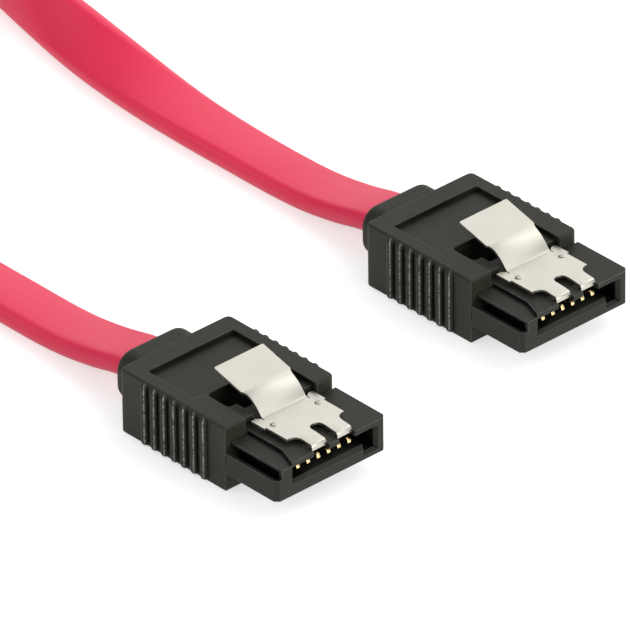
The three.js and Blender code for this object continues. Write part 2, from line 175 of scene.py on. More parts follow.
def ribbon_frames(line):
    """One matrix for each place: X across the ribbon, Y through its thickness, Z along it."""
    frames = []
    for i, place in enumerate(line):
        along = (line[min(i + 1, len(line) - 1)].xyz - line[max(i - 1, 0)].xyz).normalized()
        level = Vector((0, 0, 1)).cross(along).normalized()
        wide = Quaternion(along, math.radians(max(place.w, 0))) @ level
        turned = Matrix((wide, along.cross(wide), along)).transposed().to_4x4()
        frames.append(Matrix.Translation(place.xyz) @ turned)
    return frames


def sweep_cable(line, width, thick):
    bm = bmesh.new()
    along = bm.verts.layers.float.new("along")
    across = bm.verts.layers.float.new("across")
    bmesh.ops.create_circle(bm, cap_ends=True, radius=thick / 2, segments=jacket_segments)
    for side in (-1, 1):
        half = [v for v in bm.verts if v.co.x * side > thick * 1e-3]
        bmesh.ops.translate(bm, verts=half, vec=(side * (width - thick) / 2, 0, 0))
    for v in bm.verts:
        v[across] = v.co.x
    frames = ribbon_frames(line)
    ring = bm.faces[:]
    bmesh.ops.transform(bm, matrix=frames[0], verts=bm.verts)
    # The first face is used up when it is pulled out, so a copy of it stays to close the start
    bmesh.ops.duplicate(bm, geom=ring)
    gone = 0.0
    for before, after in zip(frames, frames[1:]):
        gone += (after.translation - before.translation).length
        grown = bmesh.ops.extrude_face_region(bm, geom=ring)["geom"]
        bmesh.ops.delete(bm, geom=ring, context="FACES_ONLY")
        verts = verts_in(grown)
        ring = [g for g in grown if isinstance(g, bmesh.types.BMFace)]
        bmesh.ops.transform(bm, matrix=after @ before.inverted(), verts=verts)
        for v in verts:
            v[along] = gone
    bmesh.ops.remove_doubles(bm, verts=bm.verts, dist=1e-7)
    bmesh.ops.recalc_face_normals(bm, faces=bm.faces)
    return bm


def as_object(bm, name):
    mesh = bpy.data.meshes.new(name)
    bm.to_mesh(mesh)
    bm.free()
    piece = bpy.data.objects.new(name, mesh)
    bpy.context.scene.collection.objects.link(piece)
    return piece


cable = as_object(sweep_cable(cable_line, cable_width, cable_thick), "cable_jacket")
cable.data.shade_smooth()
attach(cable, body)
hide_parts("cable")
print("cable jacket:", len(cable.data.polygons), "faces")

# %% [markdown]
# ## Tools for the moulded pieces
# A mould is cut from blocks, and so are these pieces: a block or a prism is made with bmesh, other
# blocks are taken away from it with Boolean modifiers, and one narrow bevel eases every edge that is
# left, which is what catches the light on real plastic. The bevel works by angle, so surfaces that
# are already round stay as they are. Weighted normals then keep the flat faces flat in the shading.
# Lengths are in millimetres: what lies closer than `near` to a plane counts as on it, pieces that are
# joined run into each other by `overlap`, and a cut that comes from outside starts `reach` away.

# %% Blocks, prisms and rounded corners
near = 0.01
overlap = 1.0
reach = 2.0


def upright(a, b):
    return abs(a.z - b.z) > near


def level(a, b):
    return not upright(a, b)


def lengthwise(a, b):
    return abs(a.x - b.x) > near


def block(x, y, z, corner=0.0, segments=6, pick=None):
    """A block between three pairs of limits, with some or all of its upright corners rounded."""
    bm = bmesh.new()
    bmesh.ops.create_cube(bm, size=1)
    bmesh.ops.scale(bm, vec=(x[1] - x[0], y[1] - y[0], z[1] - z[0]), verts=bm.verts)
    bmesh.ops.translate(bm, vec=(sum(x) / 2, sum(y) / 2, sum(z) / 2), verts=bm.verts)
    if corner:
        round_off(bm, lambda a, b: upright(a, b) and (not pick or pick(a)), corner, segments)
    return bm


def round_off(bm, choose, radius, segments=6):
    """Bevels the edges that choose(end, other end) picks."""
    edges = [e for e in bm.edges if choose(e.verts[0].co, e.verts[1].co)]
    bmesh.ops.bevel(
        bm, geom=edges, offset=radius, offset_type="OFFSET", segments=segments, profile=0.5,
        affect="EDGES", material=-1)


def prism(points, z0, z1):
    """An outline in X and Y, raised from z0 to z1."""
    bm = bmesh.new()
    face = bm.faces.new([bm.verts.new((x, y, z0)) for x, y in points])
    raised = bmesh.ops.extrude_face_region(bm, geom=[face])["geom"]
    bmesh.ops.translate(bm, vec=(0, 0, z1 - z0), verts=verts_in(raised))
    bmesh.ops.recalc_face_normals(bm, faces=bm.faces)
    return bm


# %% Carving, easing and placing


def settle(piece):
    """Turns the piece's modifiers into its mesh."""
    bpy.context.view_layer.update()
    shaped = bpy.data.meshes.new_from_object(
        piece.evaluated_get(bpy.context.evaluated_depsgraph_get()))
    old = piece.data
    piece.modifiers.clear()
    piece.data = shaped
    bpy.data.meshes.remove(old)


def carve(piece, tools, operation="DIFFERENCE"):
    """Takes the tools, each a bmesh, away from the piece, or adds them to it."""
    made = [as_object(tool, "tool") for tool in tools]
    for tool in made:
        step = piece.modifiers.new("carve", "BOOLEAN")
        step.operation, step.solver, step.object = operation, "EXACT", tool
    settle(piece)
    for tool in made:
        bpy.data.meshes.remove(tool.data)


def ease_edges(piece, width, segments=3, angle=35):
    step = piece.modifiers.new("eased edges", "BEVEL")
    step.width, step.segments = width, segments
    step.limit_method, step.angle_limit = "ANGLE", math.radians(angle)
    step.use_clamp_overlap = True
    settle(piece)


def place(piece, part, slot):
    """Puts a copy of a finished piece, drawn in millimetres, on each plug in metres."""
    placed = []
    for plug in plugs:
        mesh = piece.data.copy()
        mesh.transform(Matrix.Translation(plug_origin(plug)) @ Matrix.Scale(mm, 4))
        mesh.shade_smooth()
        copy = bpy.data.objects.new(f"{plug}_{part}_finished", mesh)
        bpy.context.scene.collection.objects.link(copy)
        copy.modifiers.new("flat faces", "WEIGHTED_NORMAL").keep_sharp = False
        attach(copy, body)
        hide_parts(f"{plug}_{part}")
        placed.append(copy)
    bpy.data.meshes.remove(piece.data)
    print(part, len(placed[0].data.polygons), "faces")
    return placed


# %% [markdown]
# ## Overmould
# The grip is cast in one shot round the insert and the end of the cable. It is a plain block with
# rounded corners and a recessed panel, and it opens in front of the panel in a deep finger pocket, so
# that the latch's tab can be pushed down. Its sleeve at the back keeps the cable from kinking. The
# seven ribs on each side are half round and stop short of both edges. Each rib has a pale strip on the
# flank a little forward of its crest, partly wear from the fingers and partly a painted highlight;
# only the mesh knows where that flank is, so it is marked there for the finish to find.

# %% Block and sleeve of the overmould
shell_length = 14.6
shell_half = 6.85
shell_corner = 0.6
shell_edge = 0.25
shell_rear = shell_front - shell_length
sleeve_half, sleeve_middle = 4.45, -0.2
sleeve_bottom, sleeve_top = 0.8, 5.95
sleeve_corner, sleeve_rear_edge = 1.9, 0.7

# The front corner beside the insert's ledge stays nearly sharp
shell = block(
    (shell_rear, shell_front), (-shell_half, shell_half), (0, shell_height),
    shell_corner, 6, lambda end: not (end.x > shell_front - near and end.y < 0))
round_off(shell, level, shell_edge, 4)
overmould = as_object(shell, "overmould")

sleeve = block(
    (relief_rear, shell_rear + overlap),
    (sleeve_middle - sleeve_half, sleeve_middle + sleeve_half), (sleeve_bottom, sleeve_top))
round_off(sleeve, lengthwise, sleeve_corner, 10)
round_off(sleeve, lambda a, b: max(a.x, b.x) < relief_rear + near, sleeve_rear_edge, 6)
carve(overmould, [sleeve], "UNION")
print("block and sleeve:", len(overmould.data.polygons), "faces")

# %% Cable hole, panel, pocket and well of the overmould
hole_half_width, hole_half_height = 3.3, 1.3
hole_corner, hole_depth = 1.25, 1.2
panel_floor = shell_height - 0.5
panel_half = 5.35
panel_rear = shell_rear + 2.3
panel_corner = 0.25
pocket_front = shell_front - 3.05
pocket_rear = pocket_front - 3.05
pocket_half = 4.0
pocket_floor = 3.0
pocket_corner = 0.45
well_half = 3.0
arm_gap = (-4.3, 4.6)
shoulder_front = shell_front - 0.7
fit_gap = 0.1
shell_ease = 0.07

cable_middle = cable_route[0][2] / mm
cable_hole = block(
    (relief_rear - reach, relief_rear + hole_depth), (-hole_half_width, hole_half_width),
    (cable_middle - hole_half_height, cable_middle + hole_half_height))
round_off(cable_hole, lengthwise, hole_corner, 8)
above = shell_height + reach
floor_of_well = insert_top - fit_gap
# The panel and the well run into the pocket by a corner's radius, so their round corners end there
carve(overmould, [
    cable_hole,
    block((panel_rear, pocket_rear + panel_corner), (-panel_half, panel_half), (panel_floor, above),
          panel_corner),
    block((pocket_rear, shell_front + reach), arm_gap, (panel_floor, above)),
    block((pocket_rear, pocket_front), (key_middle - pocket_half, key_middle + pocket_half),
          (pocket_floor, above), pocket_corner),
    block((pocket_front - pocket_corner, shell_front + reach),
          (key_middle - well_half, key_middle + well_half), (floor_of_well, above), pocket_corner),
    block((shoulder_front, shell_front + reach), arm_gap, (floor_of_well, above)),
])
ease_edges(overmould, shell_ease)
print("overmould before its ribs:", len(overmould.data.polygons), "faces")

# %% Grip ribs
rib_radius = shell_high.y - shell_half
rib_pitch = 1.36
rib_first = shell_rear + 3.6
rib_count = 7
rib_end_gap = 0.12
strip_angle = math.radians(30)


def grip_rib(bm, rub_and_highlight, x, y):
    """An upright capsule: a ball whose upper half is lifted.

    The more a place faces the strip's direction, forward of the crest, the more of the pale strip it
    carries, which is partly wear and partly a painted highlight."""
    made = bmesh.ops.create_uvsphere(bm, u_segments=24, v_segments=13, radius=rib_radius)["verts"]
    strip_facing = Vector((math.sin(strip_angle), math.copysign(math.cos(strip_angle), y)))
    for v in made:
        v[rub_and_highlight] = max(0.0, v.co.xy.normalized().dot(strip_facing))
    lift = shell_height - 2 * rib_end_gap - 2 * rib_radius
    bmesh.ops.translate(bm, verts=[v for v in made if v.co.z > 0], vec=(0, 0, lift))
    bmesh.ops.translate(bm, verts=made, vec=(x, y, rib_end_gap + rib_radius))


with_ribs = bmesh.new()
with_ribs.from_mesh(overmould.data)
rub_and_highlight_mark = with_ribs.verts.layers.float.new("rub_and_highlight")
for side in (-1, 1):
    for i in range(rib_count):
        grip_rib(with_ribs, rub_and_highlight_mark, rib_first + i * rib_pitch, side * shell_half)
with_ribs.to_mesh(overmould.data)
with_ribs.free()
overmoulds = place(overmould, "overmould", "overmould")

# %% [markdown]
# ## Insert
# The insert is the part that a standard connector checks: an L-shaped slot with a tapered mouth, so
# it can only be pushed in the right way round. Beside the roof over the slot the moulding is lower,
# and a groove is cored out under that ledge to keep the walls even. The slot is cut with two blocks
# and a third tool, the slot's own outline pulled forwards and widened, which leaves the taper. Two
# notches in the roof open into the slot, and the latch's prongs stand in them.

# %% Body of the insert
slot_half = 5.1
slot_left, slot_right = key_middle - slot_half, key_middle + slot_half
slot_bottom, slot_top = 3.5, 4.95
slot_depth = 6.0
leg_width, leg_bottom = 1.35, 2.6
lead_top, lead, lead_wide, lead_length = 0.1, 0.2, 0.35, 0.4
prong_width, prong_gap = 1.75, 1.4
face_chamfer = 0.42
tail_half, tail_bottom, tail_overlap = 4.1, 2.7, 0.5

insert_rear = shell_front + fit_gap
insert = as_object(block(
    (insert_rear, 0), (-insert_half, insert_half), (insert_bottom, insert_top),
    face_chamfer, 1, lambda end: end.x > -near), "insert")
tail = block(
    (insert_low.x, insert_rear + tail_overlap), (-tail_half, tail_half), (tail_bottom, insert_top))
carve(insert, [tail], "UNION")


def slot_mouth():
    """The slot's outline, pulled forwards through the mating face and widened on the way.

    It ends as far in front of the face as it starts behind it, so it widens twice as much."""
    bm = bmesh.new()
    leg_left = slot_right - leg_width
    start = bm.faces.new([bm.verts.new((-lead_length, y, z)) for y, z in (
        (slot_left, slot_top), (slot_left, slot_bottom), (leg_left, slot_bottom),
        (leg_left, leg_bottom), (slot_right, leg_bottom), (slot_right, slot_top))])
    pulled = bmesh.ops.extrude_face_region(bm, geom=[start])["geom"]
    for v in verts_in(pulled):
        if v.co.z > slot_top - near:
            up = lead_top
        else:
            up = -lead_wide if abs(v.co.z - slot_bottom) < near else -lead
        out = lead_wide if v.co.y > slot_right - near else -lead
        v.co += 2 * Vector((lead_length, out, up))
    bmesh.ops.recalc_face_normals(bm, faces=bm.faces)
    return bm


carve(insert, [
    block((-slot_depth, reach), (slot_left, slot_right), (slot_bottom, slot_top)),
    block((-slot_depth, reach), (slot_right - leg_width, slot_right), (leg_bottom, slot_top)),
    slot_mouth(),
])
print("insert after the slot:", len(insert.data.polygons), "faces")

# %% Ledge, groove and notches of the insert
roof_left, roof_flare = -4.05, 2.3
ledge_top, ledge_thick = 5.2, 0.25
groove_floor, groove_web, groove_wall_top = 2.9, 0.4, 4.2
groove_wall, slot_wall, ledge_gap = 0.42, 0.5, 0.31
notch_rear, notch_floor = -1.5, slot_top - 0.35
prong_clear = 0.12
insert_ease = 0.06
outer_side = -insert_half
wall_inside = outer_side + groove_wall
ledge_edge = wall_inside + ledge_gap
over = insert_top + reach
behind = insert_rear - 0.3
beside_roof = [
    (behind, outer_side - reach), (reach, outer_side - reach), (reach, slot_left - lead),
    (0, slot_left - lead), (-roof_flare, roof_left), (behind, roof_left)]
notch_half = prong_width / 2 + prong_clear
notch_middles = [key_middle + hand * (prong_gap + prong_width) / 2 for hand in (-1, 1)]
carve(insert, [
    prism(beside_roof, ledge_top, over),
    block((behind, -groove_web), (wall_inside, slot_left - slot_wall),
          (groove_floor, ledge_top - ledge_thick)),
    block((behind, -groove_web), (wall_inside, ledge_edge), (groove_floor, over)),
    block((behind, reach), (outer_side - reach, ledge_edge), (groove_wall_top, over)),
] + [
    block((notch_rear, reach), (middle - notch_half, middle + notch_half), (notch_floor, over))
    for middle in notch_middles
])
ease_edges(insert, insert_ease)
inserts = place(insert, "insert", "insert")

# %% [markdown]
# ## Contacts
# Each contact is a narrow strip that bows into the slot and hooks down at its tip, so it wipes along
# the pad of the other connector. The strip is drawn as one line of edges, pulled out sideways and
# given its thickness, like a strip that is bent over a form.

# %% Contacts
contact_count = 7
contact_rear = plug_box("contact_1")[0].x
contact_thick, contact_roof_gap, contact_bow = 0.18, 0.15, 0.3
contact_z = slot_top - contact_roof_gap - contact_thick
bow_start = -5.4
places_on_run = 9
thin_ease, sharp_angle = 0.05, 50


def contact_line(tip):
    """The strip's underside from its rear to its tip: straight, bowed down, up again, and the hook."""
    low = contact_z - contact_bow
    bow_end = tip - 1.3
    bend_up = (tip - 0.45, contact_z - 0.1)
    runs = [
        ((contact_rear, contact_z), (contact_rear + 1, contact_z),
         (bow_start - 0.6, contact_z), (bow_start, contact_z)),
        ((bow_start, contact_z), (-3, contact_z), (tip - 2.2, low), (bow_end, low)),
        ((bow_end, low), (tip - 0.9, low), (tip - 0.6, low + 0.08), bend_up),
        (bend_up, (tip - 0.35, contact_z + 0.05), (tip - 0.15, contact_z + 0.05),
         (tip - contact_thick, contact_z - 0.28)),
    ]
    line = []
    for run in runs:
        places = interpolate_bezier(*[Vector((x, 0, z)) for x, z in run], places_on_run)
        line += places[bool(line):]
    return line


def bent_strip(line, width):
    bm = bmesh.new()
    verts = [bm.verts.new(point) for point in line]
    edges = [bm.edges.new(pair) for pair in zip(verts, verts[1:])]
    pulled = bmesh.ops.extrude_edge_only(bm, edges=edges)["geom"]
    bmesh.ops.translate(bm, vec=(0, width, 0), verts=verts_in(pulled))
    face_up(bm)
    return bm


def face_up(bm):
    """Turns an open sheet's faces upwards, which is the side that the thickness grows on."""
    bmesh.ops.recalc_face_normals(bm, faces=bm.faces)
    if sum(f.normal.z for f in bm.faces) < 0:
        bmesh.ops.reverse_faces(bm, faces=bm.faces)


def thicken(piece, thick, even=False):
    step = piece.modifiers.new("thickness", "SOLIDIFY")
    step.thickness, step.offset, step.use_even_offset = thick, 1, even


contacts = []
for number in range(1, contact_count + 1):
    low, high = plug_box(f"contact_{number}")
    strip = as_object(bent_strip(contact_line(high.x), high.y - low.y), "strip")
    strip.data.transform(Matrix.Translation((0, low.y, 0)))
    thicken(strip, contact_thick)
    ease_edges(strip, thin_ease, 3, sharp_angle)
    contacts += place(strip, f"contact_{number}", "contact")

# %% [markdown]
# ## Latch
# The latch is stamped from flat spring steel and then bent, so it is made in the same order: half the
# outline, cut across at many stations and mirrored, then every vertex put where the bend carries it,
# and last the thickness and the eased edges. The two ears are parted from the neck by a slit, so
# they stay flat while the neck rises. The two small wedges that lock the plug are added at the end.

# %% Side view of the latch
latch_thick, latch_top = 0.25, 6.15
latch_flat = latch_top - latch_thick
tab_rear, tab_rise = -13.15, 2.82
neck_kink, kink_rise = -9.4, 1.85
droop_start = -2.2
ear_rear, ear_front, slit = -7.2, -5.4, 0.7
prong_inside, prong_bend, prong_drop, prong_droop = -0.64, 0.1, 0.5, 0.1


def bend_line():
    """Places on the sheet's underside as (place on the flat sheet, x, z), from tab to prong.

    Over the plug the flat sheet is measured from above, and on the prongs along the bend."""
    kink = latch_flat + kink_rise
    rise_end = ear_rear + slit / 2
    corner = prong_inside - prong_bend
    low = latch_flat - prong_droop
    runs = [
        ((tab_rear, latch_flat + tab_rise), (-12, latch_flat + 2.52),
         (-10.5, kink + 0.28), (neck_kink, kink)),
        ((neck_kink, kink), (neck_kink + 1.7, kink - 0.42), (neck_kink + 2.15, latch_flat),
         (rise_end, latch_flat)),
        ((rise_end, latch_flat), (-5, latch_flat), (-3.5, latch_flat), (droop_start, latch_flat)),
        ((droop_start, latch_flat), (-1.7, latch_flat), (-1.2, low + 0.02), (corner, low)),
        ((corner, low), (corner + 0.55 * prong_bend, low),
         (prong_inside, low - 0.45 * prong_bend), (prong_inside, low - prong_bend)),
        ((prong_inside, low - prong_bend), (prong_inside, latch_flat - 0.25),
         (prong_inside, latch_flat - 0.4), (prong_inside, latch_flat - prong_drop)),
    ]
    places_on_runs = (17, 33, 5, 9, 9, 5)
    line = []
    for run, count in zip(runs, places_on_runs):
        for place_on in interpolate_bezier(*[Vector((x, 0, z)) for x, z in run], count)[bool(line):]:
            flat = place_on.x
            if flat > corner + 1e-4:
                flat = line[-1][0] + math.dist((place_on.x, place_on.z), line[-1][1:])
            line.append((flat, place_on.x, place_on.z))
    return line


bend = bend_line()
prong_end = bend[-1][0]
print(f"latch: {len(bend)} stations, prongs end at {prong_end:.2f} on the flat sheet")

# %% Stamped outline of the latch
tab_half, neck_half, flat_half, ear_half = 3.05, 2.75, 3.55, 3.82
flat_front = -2.6
tab_corner, prong_corner, slit_width = 0.15, 0.12, 0.12
slit_half = neck_half + slit_width
prong_in = prong_gap / 2
prong_out = prong_in + prong_width


def curve_points(start, pull, end, count=8):
    """Points of an arc-like stretch of the outline, from start over a pull point to the end."""
    start, pull, end = (Vector((*point, 0)) for point in (start, pull, end))
    between = interpolate_bezier(
        start, start.lerp(pull, 2 / 3), end.lerp(pull, 2 / 3), end, count)
    return [(p.x, p.y) for p in between]


half_outline = [
    (tab_rear, 0),
    *curve_points((tab_rear, tab_half - tab_corner), (tab_rear, tab_half),
                  (tab_rear + tab_corner, tab_half), 4),
    *curve_points((neck_kink, tab_half), (neck_kink + 0.25, neck_half),
                  (neck_kink + 0.9, neck_half)),
    (ear_rear + slit, neck_half), (ear_rear + slit, slit_half), (ear_rear + slit / 2, slit_half),
    (ear_rear, flat_half - 0.25), (ear_rear, ear_half), (ear_front, ear_half),
    (ear_front, flat_half), (flat_front, flat_half),
    *curve_points((flat_front, prong_out + 0.9), (flat_front + 0.1, prong_out),
                  (flat_front + 1, prong_out)),
    *curve_points((prong_end - prong_corner, prong_out), (prong_end, prong_out),
                  (prong_end, prong_out - prong_corner), 4),
    *curve_points((prong_end, prong_in + prong_corner), (prong_end, prong_in),
                  (prong_end - prong_corner, prong_in), 4),
    *curve_points((flat_front + 0.35, prong_in), (flat_front - 0.4, prong_in),
                  (flat_front - 0.4, 0)),
]
print("outline of half the latch:", len(half_outline), "points")

# %% Cut, mirror and bend the sheet


def bent_place(flat):
    """Where the bend carries a place on the flat sheet."""
    after = next((i for i, station in enumerate(bend) if station[0] >= flat - 1e-6), len(bend) - 1)
    (flat_a, *a), (flat_b, *b) = bend[max(after - 1, 0)], bend[after]
    share = (flat - flat_a) / (flat_b - flat_a) if flat_b > flat_a else 0
    return a[0] + (b[0] - a[0]) * share, a[1] + (b[1] - a[1]) * share


def bent_blank():
    bm = bmesh.new()
    bm.faces.new([bm.verts.new((x, y, 0)) for x, y in half_outline])
    for station in bend[1:-1]:
        bmesh.ops.bisect_plane(
            bm, geom=bm.verts[:] + bm.edges[:] + bm.faces[:], plane_co=(station[0], 0, 0),
            plane_no=(1, 0, 0), dist=1e-5)
    bmesh.ops.mirror(bm, geom=bm.verts[:] + bm.edges[:] + bm.faces[:], axis="Y", merge_dist=1e-4)
    bmesh.ops.remove_doubles(bm, verts=bm.verts, dist=1e-4)
    face_up(bm)
    for v in bm.verts:
        if v.co.x < ear_rear + slit - near and abs(v.co.y) > (neck_half + slit_half) / 2:
            on_ear = v.co.x > ear_rear - near
            v.co.z = latch_flat if on_ear else bent_place(v.co.x)[1]
        else:
            v.co.x, v.co.z = bent_place(v.co.x)
    bmesh.ops.translate(bm, vec=(0, key_middle, 0), verts=bm.verts)
    return bm


latch_ease = 0.035
latch = as_object(bent_blank(), "latch")
thicken(latch, latch_thick, even=True)
ease_edges(latch, latch_ease, 3, sharp_angle)
print("latch sheet:", len(latch.data.polygons), "faces")

# %% Lock barbs, and a latch on each plug
barb_rear, barb_front, barb_half, barb_offset = -5.5, -4.9, 0.25, 2.78
barb_height, barb_sunk, barb_tip_height = 0.15, 0.1, 0.005
barb_tip_share = 0.15


def lock_barb(middle):
    """A small wedge, almost three sided from above, steep at the rear and level in front."""
    sheet_top = latch_flat + latch_thick
    bm = block((barb_rear, barb_front), (middle - barb_half, middle + barb_half),
               (sheet_top - barb_sunk, sheet_top + barb_height))
    for v in bm.verts:
        if v.co.x > barb_front - near:
            v.co.y = middle + (v.co.y - middle) * barb_tip_share
            v.co.z = min(v.co.z, sheet_top + barb_tip_height)
    return bm


carve(latch, [lock_barb(key_middle + hand * barb_offset) for hand in (-1, 1)], "UNION")
latches = place(latch, "latch", "latch")
# A latch moves against its plug, so it rides its own body
for plug, piece in zip(plugs, latches):
    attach(piece, f"latch_{plug[-1]}")

# %% [markdown]
# ## Effects that several finishes share
# Four effects are shared by the moulded plastics: the fine grain that the mould leaves, slow changes
# of tone from handling, edges that are worn a little paler and also carry a painted highlight, and
# painted shade that darkens inner corners and recesses where shadow falls. They are node groups with
# named sockets, built once, and each plastic sets its own values. The groups only put out masks and
# heights. Their noise reads Object coordinates, so a pattern stays on its piece, and the masks of
# edges and corners follow its shape.

# %% Helpers for node trees


def node_group(name, inputs, outputs):
    """A shader node group with number sockets; gives its tree, its input node and its output node."""
    tree = bpy.data.node_groups.new(name, "ShaderNodeTree")
    kind = "NodeSocketFloat"
    for label, value in inputs:
        socket = tree.interface.new_socket(name=label, in_out="INPUT", socket_type=kind)
        socket.default_value = value
    for label in outputs:
        tree.interface.new_socket(name=label, in_out="OUTPUT", socket_type=kind)
    return tree, tree.nodes.new("NodeGroupInput"), tree.nodes.new("NodeGroupOutput")


def add_math(tree, operation, *values):
    """A Math node whose inputs are sockets or plain numbers; gives its result."""
    node = tree.nodes.new("ShaderNodeMath")
    node.operation = operation
    for socket, value in zip(node.inputs, values):
        if isinstance(value, bpy.types.NodeSocket):
            tree.links.new(value, socket)
        else:
            socket.default_value = value
    return node.outputs[0]


def add_noise(tree, scale, detail, stretch=(1, 1, 1)):
    """Noise on Object coordinates, drawn out along an axis by a small number in stretch."""
    place_of = tree.nodes.new("ShaderNodeTexCoord").outputs["Object"]
    mapping = tree.nodes.new("ShaderNodeMapping")
    mapping.inputs["Scale"].default_value = stretch
    tree.links.new(place_of, mapping.inputs["Vector"])
    noise = tree.nodes.new("ShaderNodeTexNoise")
    noise.inputs["Detail"].default_value = detail
    tree.links.new(mapping.outputs[0], noise.inputs["Vector"])
    if isinstance(scale, bpy.types.NodeSocket):
        tree.links.new(scale, noise.inputs["Scale"])
    else:
        noise.inputs["Scale"].default_value = scale
    return noise.outputs["Fac"]


def add_range(tree, source, start, stop, low, high):
    """Turns the numbers from start to stop into low to high, and holds them there beyond."""
    node = tree.nodes.new("ShaderNodeMapRange")
    tree.links.new(source, node.inputs["Value"])
    limits = (("From Min", start), ("From Max", stop), ("To Min", low), ("To Max", high))
    for label, value in limits:
        node.inputs[label].default_value = value
    return node.outputs[0]


def add_attribute(tree, name):
    """A number that the mesh itself carries."""
    node = tree.nodes.new("ShaderNodeAttribute")
    node.attribute_name = name
    return node.outputs["Fac"]


# %% Node group for grain and tone
grain, grain_in, grain_out = node_group(
    "moulded_grain", [("Grain Scale", 4000), ("Tone Scale", 200)], ["Height", "Tone"])
fine = add_noise(grain, grain_in.outputs["Grain Scale"], 3)
slow = add_noise(grain, grain_in.outputs["Tone Scale"], 2)
grain.links.new(fine, grain_out.inputs["Height"])
grain.links.new(slow, grain_out.inputs["Tone"])
print("group:", grain.name)

# %% Node group for worn edges with a painted highlight
edge_gain, patch_gain, patch_drop = 6.0, 1.6, 0.3
edge_wear_and_highlight, edge_wear_and_highlight_in, edge_wear_and_highlight_out = node_group("worn_and_highlit_edges", [("Width", 0.0001), ("Patches", 900)], ["Mask"])
rounded = edge_wear_and_highlight.nodes.new("ShaderNodeBevel")
rounded.samples = 6
edge_wear_and_highlight.links.new(edge_wear_and_highlight_in.outputs["Width"], rounded.inputs["Radius"])
facing = edge_wear_and_highlight.nodes.new("ShaderNodeVectorMath")
facing.operation = "DOT_PRODUCT"
edge_wear_and_highlight.links.new(rounded.outputs[0], facing.inputs[0])
edge_wear_and_highlight.links.new(edge_wear_and_highlight.nodes.new("ShaderNodeNewGeometry").outputs["Normal"], facing.inputs[1])
# The rounded normal leans away from the true one near an edge, and noise breaks that up in patches
turned = add_math(edge_wear_and_highlight, "SUBTRACT", 1.0, facing.outputs["Value"])
edge = add_math(edge_wear_and_highlight, "MULTIPLY", turned, edge_gain)
patch = add_math(edge_wear_and_highlight, "MULTIPLY", add_noise(edge_wear_and_highlight, edge_wear_and_highlight_in.outputs["Patches"], 3), patch_gain)
patchy_edge = add_math(edge_wear_and_highlight, "MULTIPLY", edge, add_math(edge_wear_and_highlight, "SUBTRACT", patch, patch_drop))
edge_mask = edge_wear_and_highlight.nodes.new("ShaderNodeClamp")
edge_wear_and_highlight.links.new(patchy_edge, edge_mask.inputs["Value"])
edge_wear_and_highlight.links.new(edge_mask.outputs[0], edge_wear_and_highlight_out.inputs["Mask"])
print("group:", edge_wear_and_highlight.name)

# %% Node group for painted shade in corners
# Painted shade: the mask darkens the base colour wherever the piece closes round a place, in place of
# the shadow that falls there
open_from, closed_from = 0.9, 0.6
painted_shade, painted_shade_in, painted_shade_out = node_group("painted_corner_shade", [("Reach", 0.0006)], ["Mask"])
enclosed = painted_shade.nodes.new("ShaderNodeAmbientOcclusion")
enclosed.samples, enclosed.only_local = 8, True
painted_shade.links.new(painted_shade_in.outputs["Reach"], enclosed.inputs["Distance"])
# The node gives 1 on an open face and less the more of the piece stands round a place
depth = add_range(painted_shade, enclosed.outputs["AO"], open_from, closed_from, 0.0, 1.0)
painted_shade.links.new(depth, painted_shade_out.inputs["Mask"])
print("group:", painted_shade.name)

# %% [markdown]
# ## Finishes
# The two black plastics differ more than they seem to: the overmould is a soft, matt compound with a
# spark-eroded grain, whose ribs carry a pale strip that is partly wear and partly a painted highlight,
# and the insert is a harder and slightly smoother moulding with a finer grain. The latch is bright
# rolled steel, whose fine lines run along the strip, and the contacts are gold plated. Each finish
# starts from one shader and adds the masks with mix and map nodes.

# %% Helpers for materials


class Finish:
    """A material under construction: its shader, and short calls that add what feeds it."""

    def __init__(self, name, roughness, metallic=0.0, specular=0.5):
        self.material = bpy.data.materials.new(name)
        self.material.use_nodes = True
        self.tree = self.material.node_tree
        self.shader = self.tree.nodes["Principled BSDF"]
        self.shader.inputs["Roughness"].default_value = roughness
        self.shader.inputs["Metallic"].default_value = metallic
        self.shader.inputs["Specular IOR Level"].default_value = specular

    def use(self, group, **values):
        node = self.tree.nodes.new("ShaderNodeGroup")
        node.node_tree = group
        for label, value in values.items():
            node.inputs[label.replace("_", " ")].default_value = value
        return node.outputs

    def blend(self, mask, low, high):
        """A colour between two colours, by a mask."""
        mix = self.tree.nodes.new("ShaderNodeMix")
        mix.data_type = "RGBA"
        self.tree.links.new(mask, mix.inputs["Factor"])
        for label, value in (("A", low), ("B", high)):
            socket = next(s for s in mix.inputs if s.name == label and s.type == "RGBA")
            if isinstance(value, bpy.types.NodeSocket):
                self.tree.links.new(value, socket)
            else:
                socket.default_value = (*value, 1)
        return next(s for s in mix.outputs if s.type == "RGBA")

    def span(self, mask, low, high, start=0.3, stop=0.7):
        """A number between low and high, by a mask."""
        return add_range(self.tree, mask, start, stop, low, high)

    def bump(self, height, depth, strength=1.0):
        node = self.tree.nodes.new("ShaderNodeBump")
        node.inputs["Distance"].default_value = depth
        node.inputs["Strength"].default_value = strength
        self.tree.links.new(height, node.inputs["Height"])
        self.feed("Normal", node.outputs[0])

    def feed(self, label, source):
        self.tree.links.new(source, self.shader.inputs[label])


def dress(pieces, finish):
    for piece in pieces:
        piece.data.materials.clear()
        piece.data.materials.append(finish.material)
    print(finish.material.name, "on", len(pieces), "pieces")


